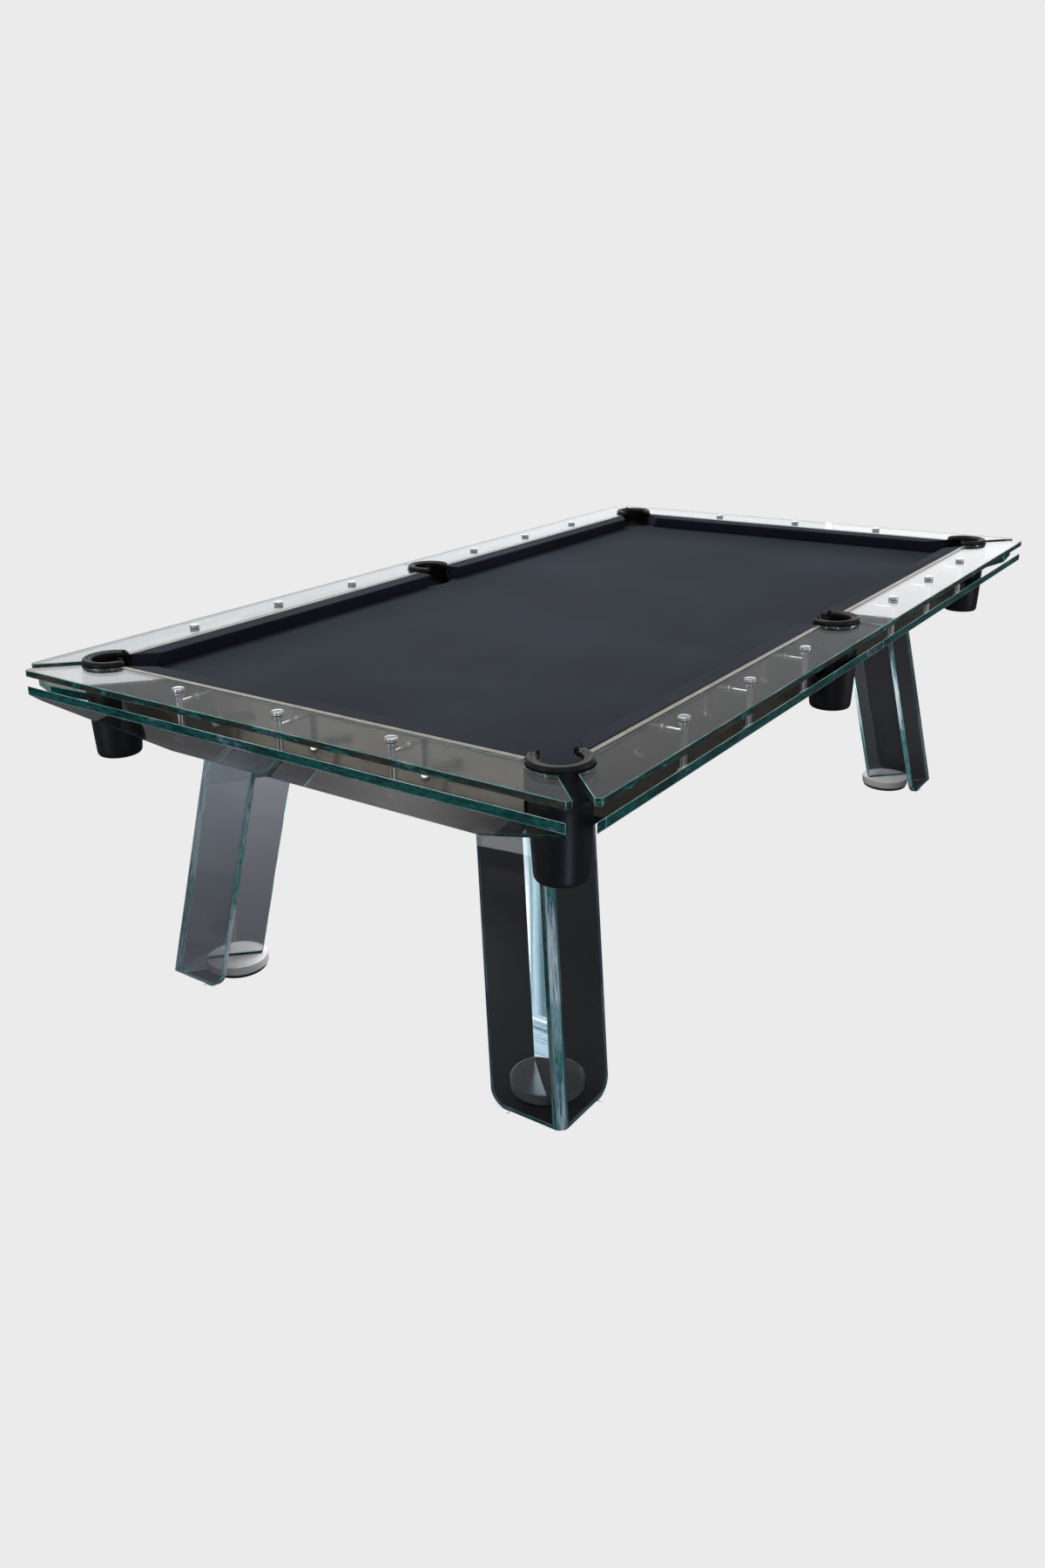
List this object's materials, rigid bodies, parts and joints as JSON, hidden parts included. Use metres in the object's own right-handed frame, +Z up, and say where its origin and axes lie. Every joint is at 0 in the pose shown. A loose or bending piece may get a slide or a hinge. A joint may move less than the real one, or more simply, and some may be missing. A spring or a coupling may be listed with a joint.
{
  "type": "pool table",
  "caption": "Eight-foot pool table with clear glass rails on chrome posts, splayed glass legs on steel discs, dark cloth bed and leather pocket cups.",
  "frame": {"origin": "on the floor under the middle of the table", "axes": "+X along the table's length, +Y across it, +Z up"},
  "size_m": [2.596, 1.476, 0.795],
  "materials": {
    "slate": "honed slate",
    "cloth": "napped billiard cloth",
    "frame_paint": "satin black paint",
    "rail_wood": "satin lacquered hardwood",
    "fascia_mirror": "dark mirror glass",
    "rail_glass": "clear, polished, with green edges",
    "leg_glass": "clear, polished, with green edges",
    "leather": "smooth black, stitched",
    "chrome": "polished",
    "foot_steel": "brushed top, polished rim",
    "pad_rubber": "matte",
    "steel_fasteners": "bright zinc"
  },
  "bodies": {
    "root": {"slate_left": "slate", "slate_middle": "slate", "slate_right": "slate", "bed_cloth": "cloth", "frame_side_beams": "frame_paint", "frame_end_beams": "frame_paint", "frame_cross_beams": "frame_paint", "leg_mounting_plates": "frame_paint", "frame_bolts": "steel_fasteners", "rail_boards": "rail_wood", "fascia_plates": "fascia_mirror", "top_glass_left": "rail_glass", "top_glass_right": "rail_glass", "top_glass_front_left": "rail_glass", "top_glass_front_right": "rail_glass", "top_glass_back_left": "rail_glass", "top_glass_back_right": "rail_glass", "sloped_glass_left": "rail_glass", "sloped_glass_right": "rail_glass", "sloped_glass_front_left": "rail_glass", "sloped_glass_front_right": "rail_glass", "sloped_glass_back_left": "rail_glass", "sloped_glass_back_right": "rail_glass", "cushion_left": "cloth", "cushion_right": "cloth", "cushion_front_left": "cloth", "cushion_front_right": "cloth", "cushion_back_left": "cloth", "cushion_back_right": "cloth", "pocket_cup_front_left": "leather", "pocket_cup_front_right": "leather", "pocket_cup_back_left": "leather", "pocket_cup_back_right": "leather", "pocket_cup_front": "leather", "pocket_cup_back": "leather", "pocket_collars": "leather", "post_shafts": "chrome", "post_caps": "chrome", "post_feet": "chrome", "post_pins": "chrome", "leg_flanks_front_left": "leg_glass", "leg_flanks_front_right": "leg_glass", "leg_flanks_back_left": "leg_glass", "leg_flanks_back_right": "leg_glass", "leg_spine_front_left": "leg_glass", "leg_spine_front_right": "leg_glass", "leg_spine_back_left": "leg_glass", "leg_spine_back_right": "leg_glass", "foot_disc_front_left": "foot_steel", "foot_disc_front_right": "foot_steel", "foot_disc_back_left": "foot_steel", "foot_disc_back_right": "foot_steel"},
    "pad_front_left": {"level_pad_front_left": "pad_rubber"},
    "screw_front_left": {"level_screw_front_left": "steel_fasteners"},
    "pad_front_right": {"level_pad_front_right": "pad_rubber"},
    "screw_front_right": {"level_screw_front_right": "steel_fasteners"},
    "pad_back_left": {"level_pad_back_left": "pad_rubber"},
    "screw_back_left": {"level_screw_back_left": "steel_fasteners"},
    "pad_back_right": {"level_pad_back_right": "pad_rubber"},
    "screw_back_right": {"level_screw_back_right": "steel_fasteners"}
  },
  "joints": [
    {"name": "level_front_left", "type": "slide", "parent": "root", "child": "pad_front_left", "axis": [0, 0, -1], "range_m": [0, 0.008]},
    {"name": "screw_turn_front_left", "type": "hinge", "parent": "pad_front_left", "child": "screw_front_left", "pos_m": [-0.99274, -0.44774, 0.003], "axis": [0, 0, -1], "range_deg": [0, 720.01]},
    {"name": "level_front_right", "type": "slide", "parent": "root", "child": "pad_front_right", "axis": [0, 0, -1], "range_m": [0, 0.008]},
    {"name": "screw_turn_front_right", "type": "hinge", "parent": "pad_front_right", "child": "screw_front_right", "pos_m": [0.99274, -0.44774, 0.003], "axis": [0, 0, -1], "range_deg": [0, 720.01]},
    {"name": "level_back_left", "type": "slide", "parent": "root", "child": "pad_back_left", "axis": [0, 0, -1], "range_m": [0, 0.008]},
    {"name": "screw_turn_back_left", "type": "hinge", "parent": "pad_back_left", "child": "screw_back_left", "pos_m": [-0.99274, 0.44774, 0.003], "axis": [0, 0, -1], "range_deg": [0, 720.01]},
    {"name": "level_back_right", "type": "slide", "parent": "root", "child": "pad_back_right", "axis": [0, 0, -1], "range_m": [0, 0.008]},
    {"name": "screw_turn_back_right", "type": "hinge", "parent": "pad_back_right", "child": "screw_back_right", "pos_m": [0.99274, 0.44774, 0.003], "axis": [0, 0, -1], "range_deg": [0, 720.01]}
  ],
  "couplings": [
    {"joint": "screw_turn_front_left", "follows": "level_front_left", "rad_per_m": 1570.8},
    {"joint": "screw_turn_front_right", "follows": "level_front_right", "rad_per_m": 1570.8},
    {"joint": "screw_turn_back_left", "follows": "level_back_left", "rad_per_m": 1570.8},
    {"joint": "screw_turn_back_right", "follows": "level_back_right", "rad_per_m": 1570.8}
  ]
}
